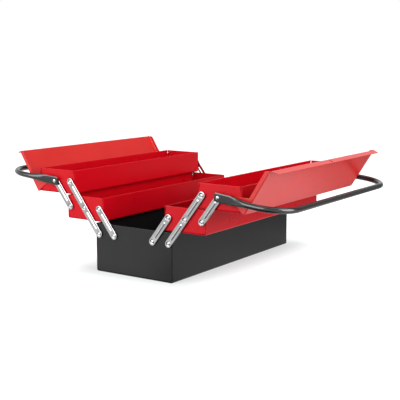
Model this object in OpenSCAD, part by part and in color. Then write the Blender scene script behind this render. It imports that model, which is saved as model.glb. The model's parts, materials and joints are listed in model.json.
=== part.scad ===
// Cantilever tool box, drawn standing open: a base, two lower trays, two upper trays with
// lids, pressed links at both ends and two tube handles.
// X runs along the box, -Y is the front, Z is up. The origin is under the middle of the base.
// Each side is drawn with +Y pointing outward and is mirrored for the front. Each end is
// drawn at +X and is mirrored for the left end.

/* [Base] */
// Length of the base
base_length = 470; // [380:10:560]
// Width of the base
base_width = 200; // [180:2:230]
// Height of the base at its rim
base_height = 103.5; // [90:0.5:130]

/* [Trays] */
// Height of each tray at its rim
tray_height = 50.5; // [46:0.5:60]
// How far each end of a tray stays inside the end of the base
tray_end_inset = 1; // [0.5:0.1:1.5]
// Gap between the two lower trays when the box is shut
tray_gap = 1; // [0.6:0.1:2]
// Gap between the base's rim and the lower trays
base_gap = 3; // [1:0.5:5]
// Gap between a lower tray's rim and the tray above it
stack_gap = 2; // [1:0.5:4]
// Height of the pivots above each tray's bottom
tray_pivot_height = 26.5; // [24:0.5:30]
// Distance from a tray's inner edge to its first pivot
inner_margin = 10; // [9:0.5:12]
// Distance from a tray's outer edge to its last pivot
outer_margin = 8.5; // [8:0.5:10]

/* [Sheet metal] */
// Thickness of the folded sheet
sheet = 0.8; // [0.6:0.1:1]
// Outside radius of the folds along the bottoms
bottom_fold = 4; // [3:0.5:6]
// Height of the hems folded inward along the rims
hem_height = 6; // [4:0.5:8]
// Slot that parts an end plate's rim and flanges from the hems of the long walls
hem_slot = 2; // [0.5:0.1:2.4]
// Depth of the flanges that join the end plates to the troughs
end_flange = 10; // [8:1:14]
// Outside radius of the folds between an end plate and its flanges
end_fold = 2.4; // [1.2:0.1:2.6]
// Radius of the relief notch between two flanges of an end plate
relief_radius = 2; // [1.5:0.1:2.2]

/* [Links] */
// Width of the pressed links
link_width = 15; // [14:0.5:16]
// Thickness of the link plate
link_thick = 1.5; // [1.2:0.1:2]
// Gap between the base's end and the back of the links
link_stand_off = 1.8; // [1.6:0.1:3]
// Width of the pressed rib
rib_width = 4.6; // [4:0.2:6]
// Height of the pressed rib above the plate
rib_height = 0.9; // [0.6:0.1:1.2]
// Distance from the lower pivot of a span to the end of its rib
rib_low_margin = 13; // [11:0.5:16]
// Distance from the upper pivot of a span to the end of its rib
rib_high_margin = 14.5; // [11:0.5:16]
// Radius of the dimple's mouth on the face of a link
dimple_mouth = 5.5; // [5:0.1:6]
// Radius of the dimple's floor
dimple_floor = 4.3; // [4:0.1:4.8]
// Thickness of the dimple's sides
dimple_side = 0.9; // [0.7:0.1:1]

/* [Rivets] */
// Radius of the shanks
rivet_radius = 2.5; // [2:0.1:3]
// Radius of the domed heads
head_radius = 3.6; // [3.4:0.1:3.8]
// Height of the domes
dome_height = 1.6; // [1.2:0.1:2]
// How far a dome stands above the face of a link
head_proud = 0.5; // [0.2:0.1:0.9]
// Radius of the upset tails inside the walls
tail_radius = 4; // [3.6:0.1:5]
// Thickness of the upset tails
tail_thick = 1.2; // [0.8:0.1:2]
// Radial clearance of a shank in the wall that holds it
rivet_fit = 0.05; // [0.02:0.01:0.1]
// Radial clearance of the pieces that turn on a shank
pivot_clearance = 0.08; // [0.05:0.01:0.1]
// Clearance between the faces that turn against each other
face_gap = 0.1; // [0.05:0.05:0.2]

/* [Lids] */
// Slope of a shut lid, in degrees
lid_slope = 10; // [6:1:14]
// Angle from shut to open, in degrees
lid_open = 112; // [90:1:112]
// Clearance between a lid and the rim that it swings over
lid_gap = 0.3; // [0.2:0.1:0.5]
// Clearance between the ends of a lid and the ends of its tray
lid_end_gap = 1; // [0.8:0.1:1.2]
// Outside radius of the folds along the ends of a lid
lid_end_fold = 2.4; // [1.6:0.1:2.6]
// Height of the skirt along the outer edge
skirt_height = 8; // [5:0.5:8]
// Depth of the flanges at the lid's ends
lid_flange = 9.2; // [8.4:0.2:11]
// How far the flanges slant back from the ridge
flange_slant = 5; // [3:0.5:10]
// Radius inside the lid's long folds
lid_fold = 0.8; // [0.6:0.1:1.5]
// Height of the padlock lip along the ridge
lip_height = 13.5; // [11:0.5:18]
// Distance from the tray's inner edge to the lip
lip_inset = 0.6; // [0.3:0.1:2]
// Distance from the lid's ends to the top corners of the lip
lip_slant = 8; // [4:0.5:12]
// Distance from the tray's outer edge in to the lid's pivot
lid_pivot_inset = 14; // [13.5:0.5:16]
// Height of the lid's pivot above the tray's bottom
lid_pivot_height = 23; // [22:0.5:25]
// Radius of the lug round the lid's pivot
lug_radius = 8; // [6:0.5:9]
// Slope of the line across the lug where its straight edges end, in degrees
lug_slope = 22; // [15:1:30]
// Distance from the pivot in to the end of the lug's inner edge
lug_run = 18.9; // [16:0.1:22]
// Length of the slanted corner between the skirt and the flange
skirt_corner = 2.3; // [1:0.1:4]
// Radius of the padlock holes
padlock_radius = 4; // [3:0.5:4.5]

/* [Handles] */
// Outside radius of the handle tube
tube_radius = 6; // [5:0.5:6.5]
// Distance from the handle's pivot to the middle of its bar
handle_reach = 144; // [135:1:160]
// Bend radius of the tube, at its middle
handle_bend = 60; // [40:1:62]
// Distance from the base's end to the middle of the handle's arms
handle_stand_off = 11; // [10.7:0.1:14]
// Thickness of the flattened ends
paddle_thick = 3; // [2:0.1:4]
// Width of the flattened ends
paddle_width = 18; // [16:0.5:20]
// How far the flattened ends reach past their pivot
paddle_back = 8.5; // [7:0.5:10]
// Corner radius of the flattened ends
paddle_corner = 3; // [2:0.5:5]
// Distance from the pivot at which the flattened end starts to grow round
paddle_length = 20; // [16:1:28]
// Distance from the pivot at which the tube is fully round
round_from = 70; // [55:1:74]
// Clearance between the flattened ends and the ribs of the links
paddle_gap = 0.3; // [0.2:0.1:0.6]
// Angle of the front handle above the horizontal as it lies, in degrees
front_handle_angle = -6.6; // [-10:0.1:10]
// Angle of the rear handle above the horizontal as it lies, in degrees
rear_handle_angle = 5.3; // [-10:0.1:10]

/* [Hidden] */
$fn = 48;
// Facets round a hull's round end
hull_facets = 32;
// Heading of a path that runs straight down, in degrees
down = -90;
front = -1;
rear = 1;
left = -1;
right = 1;
overlap = 1;

tray_width = (base_width - tray_gap) / 2;
hole_pitch = (tray_width - inner_margin - outer_margin) / 2;
// The links lean this far outward when open, and as far inward when shut
link_lean = hole_pitch - tray_gap / 2;
link_rise = tray_height + stack_gap;
link_pitch = sqrt(link_lean * link_lean + link_rise * link_rise);
link_angle = atan2(link_lean, link_rise);

lower_z = base_height + base_gap;
upper_z = lower_z + link_rise;
base_pivot_z = lower_z + tray_pivot_height - link_rise;
lower_link_y = tray_gap / 2 + inner_margin + link_lean;
long_link_y = lower_link_y + hole_pitch;
lower_tray_y = tray_gap / 2 + 2 * link_lean;
upper_tray_y = long_link_y + 2 * link_lean - inner_margin;
first_hole = inner_margin;
middle_hole = inner_margin + hole_pitch;
last_hole = inner_margin + 2 * hole_pitch;

base_end_x = base_length / 2;
tray_end_x = base_end_x - tray_end_inset;
lid_end_x = tray_end_x + lid_end_gap + sheet;
link_back_x = base_end_x + link_stand_off;
link_face_x = link_back_x + link_thick;
paddle_x = link_face_x + rib_height + paddle_gap;
arm_x = base_end_x + handle_stand_off;

lid_pivot_y = tray_width - lid_pivot_inset;
lid_corner_y = tray_width + lid_gap + sheet;
// The lid's underside passes this far from its pivot, so that it swings clear of the rim
rim_reach = norm([tray_width - sheet - lid_pivot_y, tray_height - sheet - lid_pivot_height]) + sheet;
panel_reach = rim_reach + lid_gap + sheet;
lid_corner_z = lid_pivot_height
    + (panel_reach - (lid_corner_y - lid_pivot_y) * sin(lid_slope)) / cos(lid_slope);
ridge_y = lip_inset + sheet;
ridge_z = lid_corner_z + (lid_corner_y - ridge_y) * tan(lid_slope);

body_red = [0.80, 0.07, 0.10];
satin_black = [0.16, 0.16, 0.17];
bar_black = [0.09, 0.09, 0.10];
zinc = [0.78, 0.78, 0.80];

// ---- placing ----

module on_side(side) {
    mirror([0, side == front ? 1 : 0, 0]) children();
}

module at_end(end) {
    mirror([end == left ? 1 : 0, 0, 0]) children();
}

module at_both_ends() {
    at_end(left) children();
    at_end(right) children();
}

module in_lower_tray(side) {
    on_side(side) translate([0, lower_tray_y, lower_z]) children();
}

module in_upper_tray(side) {
    on_side(side) translate([0, upper_tray_y, upper_z]) children();
}

// Turns a flat outline drawn in (y, z) and its thickness along z into a plate along +X from x
module plate_at(x, thick) {
    translate([x, 0, 0]) rotate([90, 0, 90]) linear_extrude(thick) children();
}

// A cylinder along X
module rod_x(x1, x2, radius) {
    translate([x1, 0, 0]) rotate([0, 90, 0]) cylinder(h = x2 - x1, r = radius);
}

// A cone along X
module cone_x(x1, x2, r1, r2) {
    translate([x1, 0, 0]) rotate([0, 90, 0]) cylinder(h = x2 - x1, r1 = r1, r2 = r2);
}

// The hole of a rivet in the wall whose outer face is at face_x
module wall_hole(face_x) {
    rod_x(face_x - sheet - overlap, face_x + overlap, rivet_radius + rivet_fit);
}

// The hole of a piece that turns on a rivet
module pivot_hole(x1, x2) {
    rod_x(x1 - overlap, x2 + overlap, rivet_radius + pivot_clearance);
}

// ---- folded sheet ----

// Flat outline of a pan: square at the top, with two rounded bottom corners
module pan_outline(width, height, radius) {
    translate([0, radius]) square([width, height - radius]);
    translate([radius, 0]) square([width - 2 * radius, height]);
    translate([radius, radius]) circle(radius);
    translate([width - radius, radius]) circle(radius);
}

// Section of a wall's hemmed rim from z = low up, with its outer face at 0: the wall, the round
// fold at the top and the hem inside
module rim_section(low, height) {
    translate([0, low]) square([sheet, height - sheet - low]);
    translate([sheet, height - sheet]) circle(sheet);
    translate([sheet, height - hem_height]) square([sheet, hem_height - sheet]);
}

// Section of a sheet trough: the bottom, and two long walls with hemmed rims
module trough_section(width, height) {
    difference() {
        pan_outline(width, height - sheet, bottom_fold);
        translate([sheet, sheet]) pan_outline(width - 2 * sheet, height, bottom_fold - sheet);
    }
    rim_section(bottom_fold, height);
    translate([width, 0]) mirror([1, 0]) rim_section(bottom_fold, height);
}

module trough(width, height, half_length) {
    plate_at(-half_length, 2 * half_length) trough_section(width, height);
}

// Section of an end plate's flange and its fold. The flange's outer face is along x = 0 and the
// end plate's outer face along y = 0
module flange_section() {
    translate([0, end_fold]) square([sheet, end_flange - end_fold]);
    translate([end_fold, end_fold]) intersection() {
        difference() {
            circle(end_fold);
            circle(end_fold - sheet);
        }
        translate([-end_fold, -end_fold]) square(end_fold);
    }
}

// An end plate inside a trough: the wall with three flanges folded inward, parted by relief
// notches, and a hemmed rim between two slots that leave room for the hems of the long walls
module end_plate(width, height, face_x, holes, hole_z) {
    wall_y = sheet + end_fold;
    rim_y = sheet + max(end_fold, sheet + hem_slot);
    flange_top = height - hem_height - hem_slot;
    relief_y = sheet + relief_radius;
    difference() {
        union() {
            plate_at(face_x - sheet, sheet) translate([wall_y, wall_y]) {
                square([width - 2 * wall_y, flange_top - wall_y]);
            }
            translate([face_x, width - rim_y, 0]) rotate([90, 0, 0]) {
                linear_extrude(width - 2 * rim_y) mirror([1, 0]) {
                    rim_section(flange_top - overlap, height);
                }
            }
            for (far = [0, 1]) translate([face_x, far * width, bottom_fold]) mirror([0, far, 0]) {
                translate([0, sheet, 0]) rotate([0, 0, 90]) {
                    linear_extrude(flange_top - bottom_fold) flange_section();
                }
            }
            translate([face_x, width - bottom_fold, sheet]) rotate([90, 0, 0]) rotate([0, 0, 90]) {
                linear_extrude(width - 2 * bottom_fold) flange_section();
            }
        }
        for (y = holes) translate([0, y, hole_z]) wall_hole(face_x);
        for (y = [relief_y, width - relief_y]) translate([0, y, relief_y]) {
            rod_x(face_x - end_flange - overlap, face_x + overlap, relief_radius);
        }
    }
}

// ---- base ----

module base_trough() {
    color(satin_black) translate([0, -base_width / 2, 0]) {
        trough(base_width, base_height, base_end_x);
    }
}

module base_end(end) {
    middle = base_width / 2;
    holes = [middle - long_link_y, middle - lower_link_y, middle + lower_link_y, middle + long_link_y];
    color(satin_black) at_end(end) translate([0, -middle, 0]) {
        end_plate(base_width, base_height, base_end_x, holes, base_pivot_z);
    }
}

// ---- trays ----

module tray_trough() {
    color(body_red) trough(tray_width, tray_height, tray_end_x);
}

module tray_end(end, holes) {
    color(body_red) at_end(end) {
        end_plate(tray_width, tray_height, tray_end_x, holes, tray_pivot_height);
    }
}

// The upper tray's ends also carry the lid's pivot, lower than the others
module upper_tray_end(end) {
    color(body_red) difference() {
        tray_end(end, [first_hole, middle_hole]);
        at_end(end) translate([0, lid_pivot_y, lid_pivot_height]) wall_hole(tray_end_x);
    }
}

// ---- links ----

// A rounded bar along +Z from the origin, as solid round stock
module capsule(radius, length) {
    sphere(radius);
    cylinder(h = length, r = radius);
    translate([0, 0, length]) sphere(radius);
}

// Radius of the arc that makes a rib of this width and height
rib_arc = (rib_width * rib_width / 4 + rib_height * rib_height) / (2 * rib_height);

// The rib's outside and its hollow back, both along +Z from the lower end of one span
module rib(radius, x1, x2) {
    rib_length = link_pitch - rib_low_margin - rib_high_margin;
    intersection() {
        translate([link_face_x + rib_height - rib_arc, 0, rib_low_margin]) capsule(radius, rib_length);
        translate([x1, -link_width / 2, 0]) cube([x2 - x1, link_width, link_pitch]);
    }
}

// A pressed link that stands along +Z. Its dimples reach back to the walls at wall_x
module link(wall_x) {
    length = (len(wall_x) - 1) * link_pitch;
    spans = [0 : len(wall_x) - 2];
    color(zinc) difference() {
        union() {
            plate_at(link_back_x, link_thick) {
                translate([-link_width / 2, 0]) square([link_width, length]);
                circle(link_width / 2);
                translate([0, length]) circle(link_width / 2);
            }
            for (i = [0 : len(wall_x) - 1]) translate([0, 0, i * link_pitch]) {
                cone_x(wall_x[i] + face_gap, link_back_x,
                    dimple_floor + dimple_side, dimple_mouth + dimple_side);
            }
            for (i = spans) translate([0, 0, i * link_pitch]) {
                rib(rib_arc, link_back_x + link_thick / 2, link_face_x + 2 * rib_height);
            }
        }
        for (i = spans) translate([0, 0, i * link_pitch]) {
            rib(rib_arc - link_thick, link_back_x - overlap, link_face_x);
        }
        for (i = [0 : len(wall_x) - 1]) translate([0, 0, i * link_pitch]) {
            cone_x(wall_x[i] + face_gap + link_thick, link_face_x, dimple_floor, dimple_mouth);
            rod_x(link_face_x, link_face_x + overlap, dimple_mouth);
            pivot_hole(wall_x[i], link_face_x);
        }
    }
}

// Puts a link that stands along +Z at its lower pivot, leaning outward
module leaning(side, end, y, z) {
    on_side(side) at_end(end) translate([0, y, z]) rotate([-link_angle, 0, 0]) children();
}

module long_link(side, end) {
    leaning(side, end, long_link_y, base_pivot_z) link([base_end_x, tray_end_x, tray_end_x]);
}

module lower_link(side, end) {
    leaning(side, end, lower_link_y, base_pivot_z) link([base_end_x, tray_end_x]);
}

module upper_link(side, end) {
    leaning(side, end, lower_tray_y + last_hole, lower_z + tray_pivot_height) {
        link([tray_end_x, tray_end_x]);
    }
}

// ---- rivets ----

// Points of a dome from its rim to its crown, as [radius, height along the rivet]
function dome_arc(rim_x, radius, height, steps = 6) =
    let(ball = (radius * radius + height * height) / (2 * height))
    let(rim = asin(radius / ball))
    [for (i = [0 : steps]) let(a = rim * (1 - i / steps))
        [ball * sin(a), rim_x + height - ball * (1 - cos(a))]];

// A rivet turned about the X axis: the upset tail inside the wall at wall_x, the steps of its
// shank as [radius, x], and a domed head
module rivet(wall_x, steps, rim_x, radius) {
    tail_x = wall_x - sheet - tail_thick;
    color(zinc) rotate([0, 90, 0]) rotate_extrude() polygon(concat(
        [[0, tail_x], [tail_radius - tail_thick / 2, tail_x]],
        [[tail_radius, wall_x - sheet], [rivet_radius, wall_x - sheet]],
        steps,
        dome_arc(rim_x, radius, dome_height)));
}

// A rivet whose head lies in the dimple of a link
module link_rivet(wall_x) {
    head_x = wall_x + link_thick + 2 * face_gap;
    rivet(wall_x, [[rivet_radius, head_x], [head_radius, head_x]],
        link_face_x + head_proud - dome_height, head_radius);
}

// A shouldered rivet that carries the upper link and, outside it, the handle
module handle_rivet() {
    shoulder_x = tray_end_x + link_thick + 2 * face_gap;
    head_x = paddle_x + paddle_thick + face_gap;
    rivet(tray_end_x, [[rivet_radius, shoulder_x], [head_radius, shoulder_x],
        [head_radius, paddle_x - face_gap], [rivet_radius, paddle_x - face_gap],
        [rivet_radius, head_x], [tail_radius, head_x]], head_x + head_proud, tail_radius);
}

module lid_rivet() {
    head_x = lid_end_x + face_gap;
    rivet(tray_end_x, [[rivet_radius, head_x]], head_x, head_radius);
}

module base_rivets() {
    for (side = [front, rear]) on_side(side) at_both_ends() {
        for (y = [lower_link_y, long_link_y]) translate([0, y, base_pivot_z]) link_rivet(base_end_x);
    }
}

module lower_tray_rivets() {
    at_both_ends() for (y = [first_hole, middle_hole, last_hole]) {
        translate([0, y, tray_pivot_height]) link_rivet(tray_end_x);
    }
}

module upper_tray_rivets() {
    at_both_ends() translate([0, first_hole, tray_pivot_height]) link_rivet(tray_end_x);
}

module handle_rivets() {
    at_both_ends() translate([0, middle_hole, tray_pivot_height]) handle_rivet();
}

module lid_rivets() {
    at_both_ends() translate([0, lid_pivot_y, lid_pivot_height]) lid_rivet();
}

// ---- lids ----

// Arc at a corner of a folded path, where the heading turns from h1 to h2. The radius is that
// of the path itself, and shift moves the arc to the right of the path
function fold_arc(corner, h1, h2, radius, shift, steps = 6) =
    let(turn = h2 - h1, way = sign(turn))
    let(start = corner - radius * tan(abs(turn) / 2) * [cos(h1), sin(h1)])
    let(centre = start + radius * way * [-sin(h1), cos(h1)])
    [for (i = [0 : steps]) let(a = h1 + turn * i / steps)
        centre - (radius + way * shift) * way * [-sin(a), cos(a)]];

// The lid's section, shut, from the top of the lip over the ridge and down the skirt
function lid_face(shift) = concat(
    [[ridge_y - shift, ridge_z + lip_height]],
    fold_arc([ridge_y, ridge_z], down, -lid_slope, lid_fold, shift),
    fold_arc([lid_corner_y, lid_corner_z], -lid_slope, down, lid_fold + sheet, shift),
    [[lid_corner_y - shift, lid_corner_z - skirt_height]]);

function reversed(list) = [for (i = [len(list) - 1 : -1 : 0]) list[i]];

// Height of a line that runs below the lid's upper face at this depth
function under_lid(y, depth) = lid_corner_z + (lid_corner_y - y) * tan(lid_slope) - depth / cos(lid_slope);

// The flange at one end of the lid, shut, with the lug that hangs down to the pivot
module lid_end_outline() {
    chamfer_y = lid_corner_y - skirt_corner;
    slant_y = lip_inset + flange_slant;
    lug_y = lid_pivot_y - lug_run;
    lug_side = lug_radius * [cos(lug_slope), sin(lug_slope)];
    polygon(concat(
        fold_arc([lid_corner_y, lid_corner_z], -lid_slope, down, lid_fold + sheet, 0),
        [[lid_corner_y, lid_corner_z - skirt_height],
        [chamfer_y, under_lid(chamfer_y, lid_flange)],
        [slant_y, under_lid(slant_y, lid_flange)],
        [lip_inset, under_lid(lip_inset, sheet)],
        [lip_inset, under_lid(lip_inset, sheet / 2)]]));
    polygon([
        [lid_corner_y - sheet / 2, under_lid(lid_corner_y, skirt_height / 2)],
        [lid_pivot_y, lid_pivot_height] + lug_side,
        [lid_pivot_y, lid_pivot_height],
        [lid_pivot_y, lid_pivot_height] - lug_side,
        [lug_y, under_lid(lug_y, lid_flange - overlap)]]);
    translate([lid_pivot_y, lid_pivot_height]) circle(lug_radius);
}

// What lies outside a circle of this radius, and inside the corner that the panel and an end
// flange would make if it stood out by reach, along the whole fold between them
module beside_end_fold(radius, reach) {
    run = (lid_corner_y - lip_inset) / cos(lid_slope);
    translate([lid_end_x, lid_corner_y, lid_corner_z]) rotate([90 - lid_slope, 0, 0]) {
        translate([0, 0, -overlap]) linear_extrude(run + 2 * overlap) {
            translate([-lid_end_fold, -lid_end_fold]) difference() {
                square(lid_end_fold + reach);
                circle(radius);
            }
        }
    }
}

// The shut lid in its tray's own frame
module shut_lid() {
    difference() {
        union() {
            plate_at(-lid_end_x, 2 * lid_end_x) polygon(concat(lid_face(0), reversed(lid_face(sheet))));
            at_both_ends() plate_at(lid_end_x - sheet, sheet) lid_end_outline();
            at_both_ends() intersection() {
                beside_end_fold(lid_end_fold - sheet, -sheet / 2);
                plate_at(lid_end_x - 2 * lid_end_fold, 2 * lid_end_fold) lid_end_outline();
            }
        }
        at_both_ends() beside_end_fold(lid_end_fold, overlap);
        at_both_ends() translate([0, lid_pivot_y, lid_pivot_height]) {
            pivot_hole(lid_end_x - sheet, lid_end_x);
        }
        at_both_ends() translate([lid_end_x, ridge_y + overlap, ridge_z]) rotate([90, 0, 0]) {
            linear_extrude(sheet + 2 * overlap) {
                polygon([[-lid_end_fold, 0], [overlap, 0], [overlap, lip_height + overlap],
                    [-lip_slant, lip_height + overlap], [-lip_slant, lip_height]]);
            }
        }
        translate([0, ridge_y + overlap, ridge_z + lip_height / 2]) rotate([90, 0, 0]) {
            cylinder(h = sheet + 2 * overlap, r = padlock_radius);
        }
    }
}

module lid(side) {
    color(body_red) in_upper_tray(side) translate([0, lid_pivot_y, lid_pivot_height]) {
        rotate([-lid_open, 0, 0]) translate([0, -lid_pivot_y, -lid_pivot_height]) shut_lid();
    }
}

// ---- handles ----

// The flattened end with its pivot at the origin of the y-z plane and the arm along +Y
module paddle() {
    half = paddle_width / 2;
    corner_y = paddle_corner - paddle_back;
    difference() {
        plate_at(paddle_x, paddle_thick) {
            translate([corner_y, -half]) square([paddle_length - corner_y, paddle_width]);
            translate([-paddle_back, paddle_corner - half]) {
                square([paddle_corner + overlap, paddle_width - 2 * paddle_corner]);
            }
            for (z = [paddle_corner - half, half - paddle_corner]) {
                translate([corner_y, z]) circle(paddle_corner);
            }
        }
        pivot_hole(paddle_x, paddle_x + paddle_thick);
    }
}

// The length over which the flat end grows into the round tube
module taper() {
    slice = 0.2;
    hull() {
        translate([paddle_x, paddle_length - slice, -paddle_width / 2]) {
            cube([paddle_thick, slice, paddle_width]);
        }
        translate([arm_x, round_from, 0]) rotate([-90, 0, 0]) {
            cylinder(h = slice, r = tube_radius, $fn = hull_facets);
        }
    }
}

// One half of the tube: half the bar, one bend and one arm down to the taper
module half_tube() {
    bend_x = arm_x - handle_bend;
    bend_y = handle_reach - handle_bend;
    translate([0, handle_reach, 0]) rod_x(0, bend_x, tube_radius);
    translate([bend_x, bend_y, 0]) rotate_extrude(angle = 90) translate([handle_bend, 0]) circle(tube_radius);
    translate([arm_x, round_from, 0]) rotate([-90, 0, 0]) {
        cylinder(h = bend_y - round_from, r = tube_radius);
    }
}

module handle(side, angle) {
    color(bar_black) in_upper_tray(side) translate([0, middle_hole, tray_pivot_height]) {
        rotate([angle, 0, 0]) at_both_ends() {
            paddle();
            taper();
            half_tube();
        }
    }
}

// ---- the box, standing open ----

base_trough();
base_end(left);  // base_end_left
base_end(right);  // base_end_right
base_rivets();

in_lower_tray(front) tray_trough();  // front_lower_tray_trough
union() {  // front_lower_tray_end_left
    in_lower_tray(front) tray_end(left, [first_hole, middle_hole, last_hole]);
}
union() {  // front_lower_tray_end_right
    in_lower_tray(front) tray_end(right, [first_hole, middle_hole, last_hole]);
}
in_lower_tray(front) lower_tray_rivets();  // front_lower_tray_rivets
in_upper_tray(front) tray_trough();  // front_upper_tray_trough
in_upper_tray(front) upper_tray_end(left);  // front_upper_tray_end_left
in_upper_tray(front) upper_tray_end(right);  // front_upper_tray_end_right
in_upper_tray(front) upper_tray_rivets();  // front_upper_tray_rivets
in_upper_tray(front) handle_rivets();  // front_handle_rivets
in_upper_tray(front) lid_rivets();  // front_lid_rivets
lid(front);  // front_lid
handle(front, front_handle_angle);  // front_handle
long_link(front, left);  // front_long_link_left
long_link(front, right);  // front_long_link_right
lower_link(front, left);  // front_lower_link_left
lower_link(front, right);  // front_lower_link_right
upper_link(front, left);  // front_upper_link_left
upper_link(front, right);  // front_upper_link_right

in_lower_tray(rear) tray_trough();  // rear_lower_tray_trough
union() {  // rear_lower_tray_end_left
    in_lower_tray(rear) tray_end(left, [first_hole, middle_hole, last_hole]);
}
union() {  // rear_lower_tray_end_right
    in_lower_tray(rear) tray_end(right, [first_hole, middle_hole, last_hole]);
}
in_lower_tray(rear) lower_tray_rivets();  // rear_lower_tray_rivets
in_upper_tray(rear) tray_trough();  // rear_upper_tray_trough
in_upper_tray(rear) upper_tray_end(left);  // rear_upper_tray_end_left
in_upper_tray(rear) upper_tray_end(right);  // rear_upper_tray_end_right
in_upper_tray(rear) upper_tray_rivets();  // rear_upper_tray_rivets
in_upper_tray(rear) handle_rivets();  // rear_handle_rivets
in_upper_tray(rear) lid_rivets();  // rear_lid_rivets
lid(rear);  // rear_lid
handle(rear, rear_handle_angle);  // rear_handle
long_link(rear, left);  // rear_long_link_left
long_link(rear, right);  // rear_long_link_right
lower_link(rear, left);  // rear_lower_link_left
lower_link(rear, right);  // rear_lower_link_right
upper_link(rear, left);  // rear_upper_link_left
upper_link(rear, right);  // rear_upper_link_right
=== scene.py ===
import json
import math

import bpy
import numpy as np
from bpy.props import FloatProperty, FloatVectorProperty, IntProperty, PointerProperty
from mathutils import Matrix, Vector

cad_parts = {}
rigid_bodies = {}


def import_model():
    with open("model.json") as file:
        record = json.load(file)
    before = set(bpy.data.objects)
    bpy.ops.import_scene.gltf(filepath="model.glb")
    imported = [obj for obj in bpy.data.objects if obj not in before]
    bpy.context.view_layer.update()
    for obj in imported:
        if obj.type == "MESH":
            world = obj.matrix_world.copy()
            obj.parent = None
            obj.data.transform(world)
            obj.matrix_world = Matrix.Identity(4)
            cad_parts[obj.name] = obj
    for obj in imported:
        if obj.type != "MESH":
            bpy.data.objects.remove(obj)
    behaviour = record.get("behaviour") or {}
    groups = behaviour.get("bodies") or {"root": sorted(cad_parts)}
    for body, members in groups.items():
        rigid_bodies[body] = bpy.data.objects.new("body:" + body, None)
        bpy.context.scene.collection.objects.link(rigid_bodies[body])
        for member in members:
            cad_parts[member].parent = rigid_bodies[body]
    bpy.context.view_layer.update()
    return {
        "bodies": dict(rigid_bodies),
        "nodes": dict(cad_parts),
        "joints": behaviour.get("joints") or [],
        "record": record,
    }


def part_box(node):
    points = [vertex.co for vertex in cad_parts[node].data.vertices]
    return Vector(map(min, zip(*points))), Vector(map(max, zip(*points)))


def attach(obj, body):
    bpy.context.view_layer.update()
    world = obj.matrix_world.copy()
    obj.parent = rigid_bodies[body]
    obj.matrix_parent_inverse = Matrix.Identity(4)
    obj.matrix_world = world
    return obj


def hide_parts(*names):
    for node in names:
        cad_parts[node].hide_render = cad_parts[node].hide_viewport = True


bl_info = {
    "name": "Cantilever tool box",
    "version": (1, 0, 0),
    "blender": (4, 5, 0),
    "location": "3D View > Sidebar > Tool Box",
    "description": "Dresses the packed cantilever tool box: enamel, pressed links, rivets, "
    "handles and stage",
    "category": "Object",
}

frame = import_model()

SIDES = ("front", "rear")
ENDS = ("left", "right")
MM = 0.001
PIVOTS = {joint["name"]: Vector(joint["pos_m"]) for joint in frame["joints"]}
SLOTS = {part["node"]: part["material_slot"] for part in frame["record"]["subparts"]}
# The outer faces of the end walls, along X
BASE_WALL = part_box("base_end_right")[1].x
TRAY_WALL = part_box("front_lower_tray_end_right")[1].x

# Waves a metre of the noise in the enamels and in the plating
DRIFT_WAVES, DUST_WAVES, PEEL_WAVES, GRAIN_WAVES = 14, 260, 420, 2600
MOTTLE_WAVES, STREAK_WAVES = 160, 240
STREAK_STRETCH = (6, 1, 1)
# How far that noise shades a colour, as shares of it, and how far it moves the roughness
ENAMEL_SHADES, ENAMEL_ROUGHNESS = (0.90, 1.10), 0.10
ZINC_SHADES, ZINC_ROUGHNESS = (0.78, 1.22), 0.12
# The plating's relief: the share of the mottling in it, and its depth
ZINC_GRAIN, ZINC_BUMP = 0.6, 0.04 * MM

# Faces of a link across its width, between its pivots' squares and from a pivot to its hole
LINK_CELLS = {"Cells Across": 38, "Cells Between": 92, "Hole Cells": 6}

# Angles round the corners of a handle's tip that have a ring, in degrees, and how many rings
# its other stretches have
TIP_TURNS = (9, 20, 32, 45, 60, 75, 90)
FLAT_RINGS, SWELL_RINGS, ARM_RINGS, BEND_RINGS, BAR_RINGS = 8, 27, 4, 33, 12
# How much thinner each face of the tip is at its very end, how square a section of the handle
# is, where 2 is an ellipse, and how long the flat end takes to turn from square to round
TIP_THINNING = 0.4 * MM
ROUND, SQUARE = 2.0, 7.0
SQUARE_FADE = 22 * MM

# Where the surroundings turn dim in gloss: toward the right in front, and above. Each range is
# of the cosine to that direction
RIGHT_WAY = (0.6, -0.8)
RIGHT_RANGE = (0.3, 0.75)
ABOVE_RANGE = (0.35, 0.8)

# The floor's image in gloss is a painted reflection. Where it turns dim, in metres: an ellipse of
# painted dark reflection off the left end with its soft edge as a share of its size, the stretch to
# the left of it, a painted shadow under the trays, and toward the right
SPOT_CENTRE, SPOT_SIZE, SPOT_EDGE = (-0.42, -0.24), (0.22, 0.26), (0.75, 1.25)
LEFT_RANGE = (-0.75, -0.35)
TRAY_SHADOW_X, TRAY_SHADOW_Y = (0.32, 0.2), (0.36, 0.26)
FAR_RANGE = (0.0, 0.6)

# Half of the floor's side, how pale it is for soft light, and its shade to the camera before it
# is lifted
FLOOR_HALF = 6
FLOOR_BOUNCE = 0.85
FLOOR_SHOWN = (0.36, 0.385, 0.385, 1)
WHITE = (1, 1, 1, 1)
# What the lamps face
LAMP_AIM = Vector((0, 0, 0.1))


# ---- sizes and finishes a user would change ----


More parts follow.
